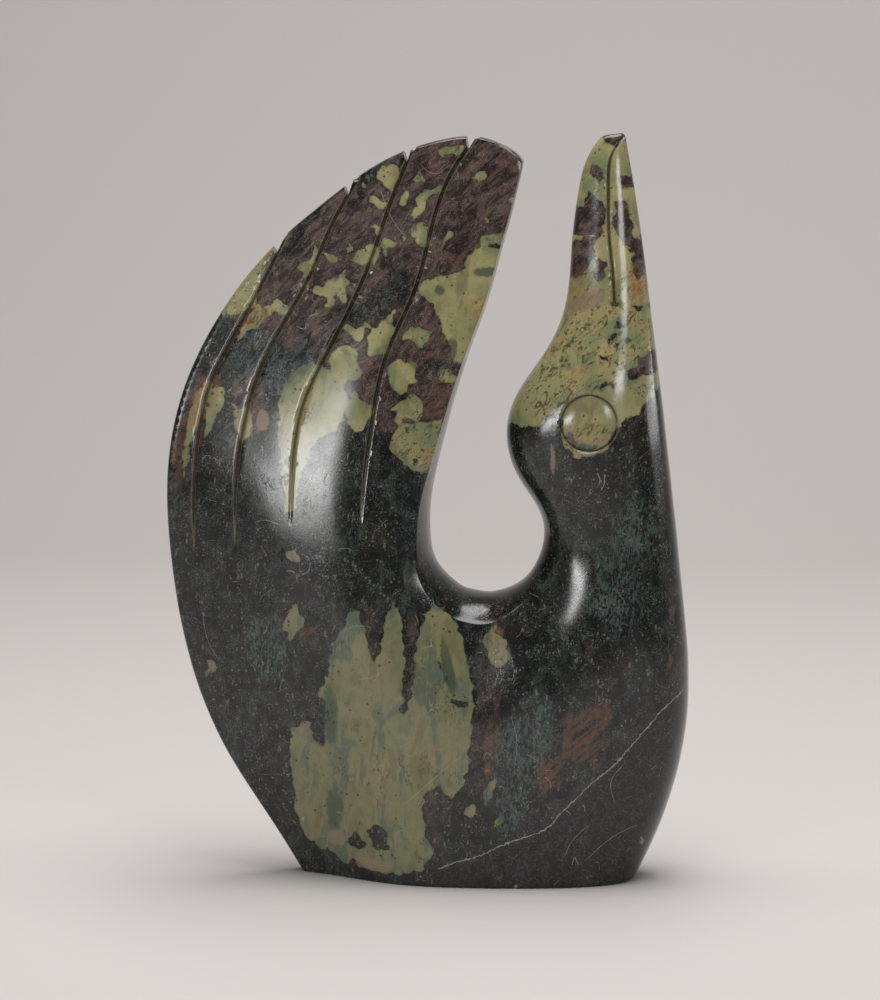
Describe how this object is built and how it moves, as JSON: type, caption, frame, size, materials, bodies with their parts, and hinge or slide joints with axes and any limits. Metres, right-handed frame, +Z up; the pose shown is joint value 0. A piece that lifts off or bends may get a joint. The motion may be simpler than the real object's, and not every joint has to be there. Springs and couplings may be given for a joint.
{
  "type": "soapstone bird carving",
  "caption": "Stylised bird carved from one block of soapstone, its neck and raised wing forming a U around an open gap, standing on a flat-sawn foot.",
  "frame": {"origin": "middle of the bounding box on the ground, on the underside of the sawn foot", "axes": "+Z up, +X from the raised wing towards the beak, the broad faces look to -Y and +Y"},
  "size_m": [0.3506, 0.1042, 0.5],
  "materials": {
    "stone": "waxed and polished, dark green-black with olive and plum patches"
  },
  "bodies": {
    "root": {"bird": "stone"}
  },
  "joints": []
}
